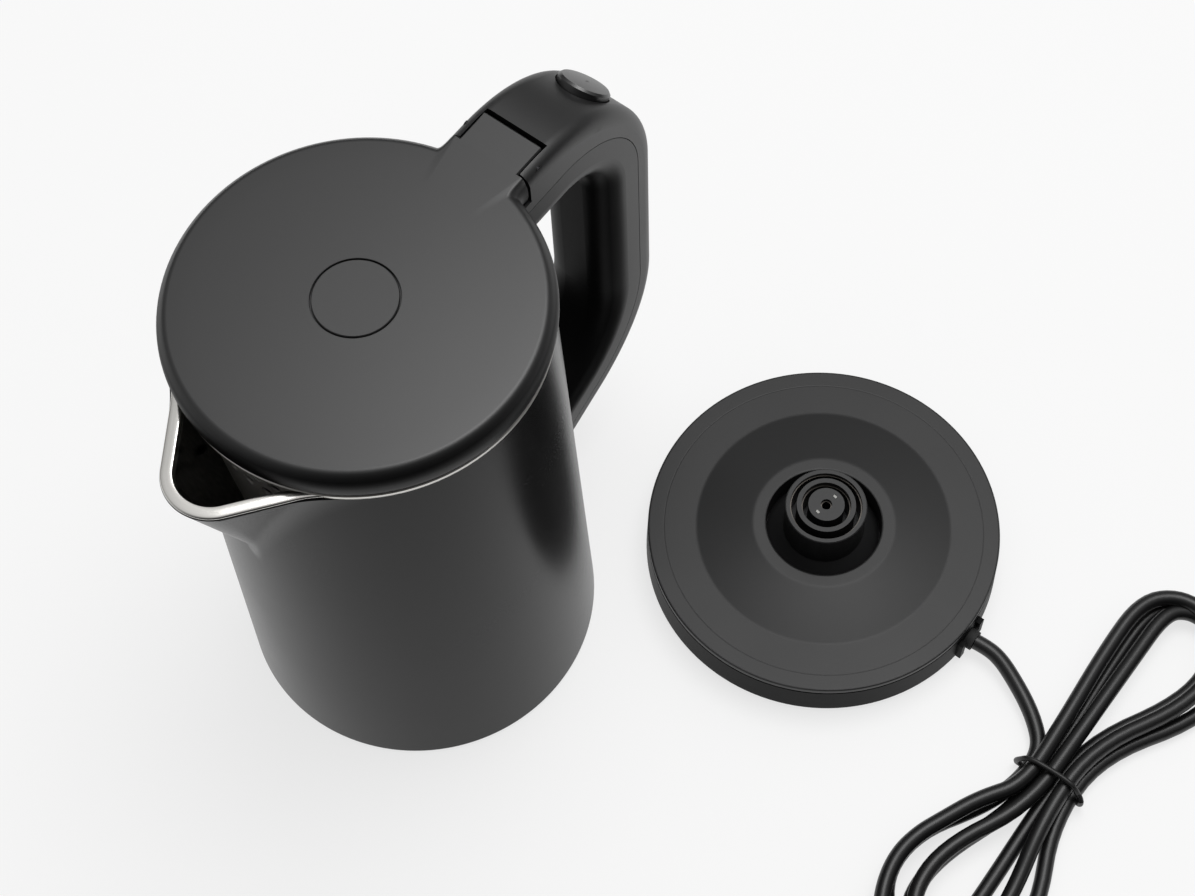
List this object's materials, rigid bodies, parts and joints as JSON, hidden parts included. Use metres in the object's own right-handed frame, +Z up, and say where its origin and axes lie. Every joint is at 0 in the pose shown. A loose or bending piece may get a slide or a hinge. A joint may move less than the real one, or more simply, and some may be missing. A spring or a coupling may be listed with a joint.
{
  "type": "electric kettle",
  "caption": "Tall matt black cordless electric kettle with a steel pouring beak, hinged lid and looped handle, beside its round power base with a tied mains lead.",
  "frame": {"origin": "on the table, under the middle of the kettle's foot ring", "axes": "+Z up, +X from the kettle's axis towards its handle, -X towards its spout; the power base stands towards +X and -Y"},
  "size_m": [0.2926, 0.3725, 0.249],
  "materials": {
    "shell_plastic": "fine matt black moulding",
    "lid_plastic": "fine matt black moulding",
    "cap_plastic": "satin black inset",
    "handle_plastic": "fine matt black moulding",
    "button_plastic": "fine matt black moulding",
    "polished_steel": "polished stainless steel",
    "base_plastic": "fine matt black moulding",
    "connector_plastic": "satin dark moulding",
    "inner_plastic": "plain dark moulding",
    "contact_brass": "bright contact metal",
    "spring_steel": "spring steel",
    "fixing_steel": "plated steel",
    "heater_aluminium": "bare aluminium",
    "silicone": "translucent grey silicone",
    "foot_rubber": "black rubber",
    "wire_sheath": "pale insulated wire",
    "cord_sheath": "soft black cord",
    "tie_sheath": "black covered wire"
  },
  "bodies": {
    "power_base": {"base_top_cover": "base_plastic", "base_bottom_cover": "base_plastic", "base_screws": "fixing_steel", "base_feet": "foot_rubber", "connector_body": "connector_plastic", "connector_screws": "fixing_steel", "connector_contacts": "contact_brass", "strain_relief": "cord_sheath", "cord_clamp": "inner_plastic", "clamp_screws": "fixing_steel", "base_wires": "wire_sheath", "cord_lead": "cord_sheath", "cord_hank": "cord_sheath", "cord_tail": "cord_sheath", "cord_tie": "tie_sheath", "plug_body": "cord_sheath", "plug_pins": "contact_brass"},
    "kettle_body": {"outer_shell": "shell_plastic", "inner_pot": "polished_steel", "pot_floor": "polished_steel", "spout_beak": "polished_steel", "handle_grip": "handle_plastic", "handle_cover": "handle_plastic", "hinge_pin": "fixing_steel", "switch_pin": "fixing_steel", "handle_screws": "fixing_steel", "button_spring": "spring_steel", "steam_switch": "inner_plastic", "bimetal_disc": "contact_brass", "steam_tube": "silicone", "switch_wires": "wire_sheath", "heating_element": "heater_aluminium", "control_unit": "inner_plastic", "heater_plate": "heater_aluminium", "control_screws": "fixing_steel", "socket_contacts": "contact_brass", "bottom_cover": "inner_plastic", "tie_studs": "fixing_steel", "bottom_cover_screws": "fixing_steel", "lid_spring": "spring_steel"},
    "lid": {"lid_top": "lid_plastic", "lid_cap": "cap_plastic", "lid_inner": "inner_plastic", "lid_seal": "silicone", "lid_screws": "fixing_steel"},
    "release_button": {"lid_release_button": "button_plastic"},
    "catch_slide": {"lid_catch": "inner_plastic"},
    "switch_paddle": {"power_switch": "inner_plastic"}
  },
  "joints": [
    {"name": "kettle_lift", "type": "slide", "parent": "power_base", "child": "kettle_body", "axis": [0, 0, 1], "range_m": [0, 0.2]},
    {"name": "lid_hinge", "type": "hinge", "parent": "kettle_body", "child": "lid", "pos_m": [0.0795, 0, 0.2452], "axis": [0, 1, 0], "range_deg": [0, 80], "deforming": ["lid_spring"]},
    {"name": "button_press", "type": "slide", "parent": "kettle_body", "child": "release_button", "axis": [-0.7071, 0, -0.7071], "range_m": [0, 0.003], "stiffness_N_per_m": 400, "springref_m": -0.001},
    {"name": "catch_slide_joint", "type": "slide", "parent": "kettle_body", "child": "catch_slide", "axis": [1, 0, 0], "range_m": [0, 0.003]},
    {"name": "switch_rock", "type": "hinge", "parent": "kettle_body", "child": "switch_paddle", "pos_m": [0.11834, 0, 0.06316], "axis": [0, 1, 0], "range_deg": [0, 12]}
  ],
  "couplings": [
    {"joint": "catch_slide_joint", "follows": "button_press", "ratio": 1}
  ]
}
